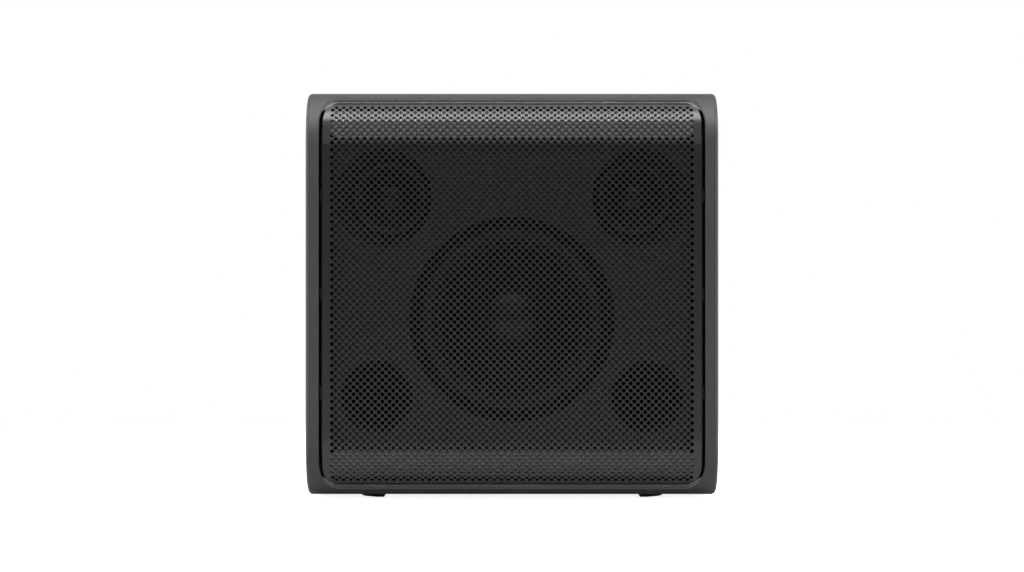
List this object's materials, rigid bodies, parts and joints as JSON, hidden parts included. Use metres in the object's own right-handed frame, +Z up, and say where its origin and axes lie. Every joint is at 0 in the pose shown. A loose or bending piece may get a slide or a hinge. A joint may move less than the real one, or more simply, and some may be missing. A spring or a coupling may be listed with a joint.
{
  "type": "powered loudspeaker",
  "caption": "Square black powered loudspeaker with a rolled perforated grille, a central woofer, corner midranges and ports, light bars, and a rear amplifier panel.",
  "frame": {"origin": "middle of the footprint at floor level", "axes": "+Z up, the front with the grille faces -Y, +X to the right seen from the front"},
  "size_m": [0.313, 0.282, 0.311],
  "materials": {
    "shell_plastic": "fine moulded texture, satin",
    "grille_steel": "satin powder coat, perforated",
    "baffle_plastic": "fine moulded texture",
    "rubber": "matt",
    "cone_paper": "pressed pulp, treated",
    "dust_cap": "satin",
    "spider_cloth": "resin-dipped cotton",
    "foam": "closed-cell foam",
    "motor_steel": "zinc plated",
    "ferrite": "ground ferrite",
    "coil": "enamelled copper on a former",
    "frame_metal": "black powder coat",
    "screw_steel": "black zinc",
    "port_plastic": "satin",
    "light_plastic": "smoked translucent",
    "circuit_board": "solder mask",
    "heat_sink": "black anodised",
    "cable": "sleeved leads",
    "panel_plastic": "fine texture",
    "button_rubber": "silk-touch",
    "amp_plate": "black powder coat",
    "knob_plastic": "satin, moulded flutes",
    "rocker_plastic": "polished",
    "socket_plastic": "moulded"
  },
  "bodies": {
    "cabinet": {"outer_shell": "shell_plastic", "front_grille": "grille_steel", "grille_clips": "port_plastic", "front_baffle": "baffle_plastic", "baffle_gasket": "foam", "rubber_feet": "rubber", "woofer_basket": "frame_metal", "woofer_gasket": "foam", "woofer_surround": "rubber", "woofer_spider": "spider_cloth", "woofer_top_plate": "motor_steel", "woofer_magnet": "ferrite", "woofer_pole_plate": "motor_steel", "driver_screws": "screw_steel", "upper_light_diffuser": "light_plastic", "lower_light_diffuser": "light_plastic", "upper_led_board": "circuit_board", "lower_led_board": "circuit_board", "rear_cover": "shell_plastic", "rear_gasket": "foam", "amp_plate": "amp_plate", "cabinet_screws": "screw_steel", "control_pots": "motor_steel", "power_switch_body": "socket_plastic", "line_in_jack": "socket_plastic", "mains_inlet": "socket_plastic", "main_board": "circuit_board", "heat_sink": "heat_sink", "power_board": "circuit_board", "transformer": "motor_steel", "wiring_harness": "cable", "control_panel": "panel_plastic", "button_board": "circuit_board", "mid_left_frame": "frame_metal", "mid_left_surround": "rubber", "mid_left_magnet": "motor_steel", "mid_left_chamber": "baffle_plastic", "port_tube_left": "port_plastic", "mid_right_frame": "frame_metal", "mid_right_surround": "rubber", "mid_right_magnet": "motor_steel", "mid_right_chamber": "baffle_plastic", "port_tube_right": "port_plastic"},
    "woofer_moving": {"woofer_cone": "cone_paper", "woofer_dust_cap": "dust_cap", "woofer_voice_coil": "coil"},
    "mid_left_moving": {"mid_left_cone": "cone_paper", "mid_left_dust_cap": "dust_cap", "mid_left_voice_coil": "coil"},
    "mid_right_moving": {"mid_right_cone": "cone_paper", "mid_right_dust_cap": "dust_cap", "mid_right_voice_coil": "coil"},
    "gain_knob_turning": {"gain_knob": "knob_plastic"},
    "tone_knob_turning": {"tone_knob": "knob_plastic"},
    "power_rocker_tipping": {"power_rocker": "rocker_plastic"},
    "button_power_cap": {"button_power": "button_rubber"},
    "button_pairing_cap": {"button_pairing": "button_rubber"},
    "button_volume_down_cap": {"button_volume_down": "button_rubber"},
    "button_volume_up_cap": {"button_volume_up": "button_rubber"},
    "button_light_cap": {"button_light": "button_rubber"}
  },
  "joints": [
    {"name": "woofer_travel", "type": "slide", "parent": "cabinet", "child": "woofer_moving", "axis": [0, -1, 0], "range_m": [-0.006, 0.006], "deforming": ["woofer_surround", "woofer_spider"]},
    {"name": "mid_left_travel", "type": "slide", "parent": "cabinet", "child": "mid_left_moving", "axis": [0, -1, 0], "range_m": [-0.0015, 0.0015], "deforming": ["mid_left_surround"]},
    {"name": "mid_right_travel", "type": "slide", "parent": "cabinet", "child": "mid_right_moving", "axis": [0, -1, 0], "range_m": [-0.0015, 0.0015], "deforming": ["mid_right_surround"]},
    {"name": "gain_turn", "type": "hinge", "parent": "cabinet", "child": "gain_knob_turning", "pos_m": [0.056, 0.13, 0.12275], "axis": [0, -1, 0], "range_deg": [-150, 150]},
    {"name": "tone_turn", "type": "hinge", "parent": "cabinet", "child": "tone_knob_turning", "pos_m": [0.022, 0.13, 0.12275], "axis": [0, -1, 0], "range_deg": [-150, 150]},
    {"name": "power_rocker_tip", "type": "hinge", "parent": "cabinet", "child": "power_rocker_tipping", "pos_m": [-0.056, 0.1235, 0.12075], "axis": [1, 0, 0], "range_deg": [0, 14]},
    {"name": "button_power_press", "type": "slide", "parent": "cabinet", "child": "button_power_cap", "axis": [0, 0, -1], "range_m": [0, 0.0008]},
    {"name": "button_pairing_press", "type": "slide", "parent": "cabinet", "child": "button_pairing_cap", "axis": [0, 0, -1], "range_m": [0, 0.0008]},
    {"name": "button_volume_down_press", "type": "slide", "parent": "cabinet", "child": "button_volume_down_cap", "axis": [0, 0, -1], "range_m": [0, 0.0008]},
    {"name": "button_volume_up_press", "type": "slide", "parent": "cabinet", "child": "button_volume_up_cap", "axis": [0, 0, -1], "range_m": [0, 0.0008]},
    {"name": "button_light_press", "type": "slide", "parent": "cabinet", "child": "button_light_cap", "axis": [0, 0, -1], "range_m": [0, 0.0008]}
  ]
}
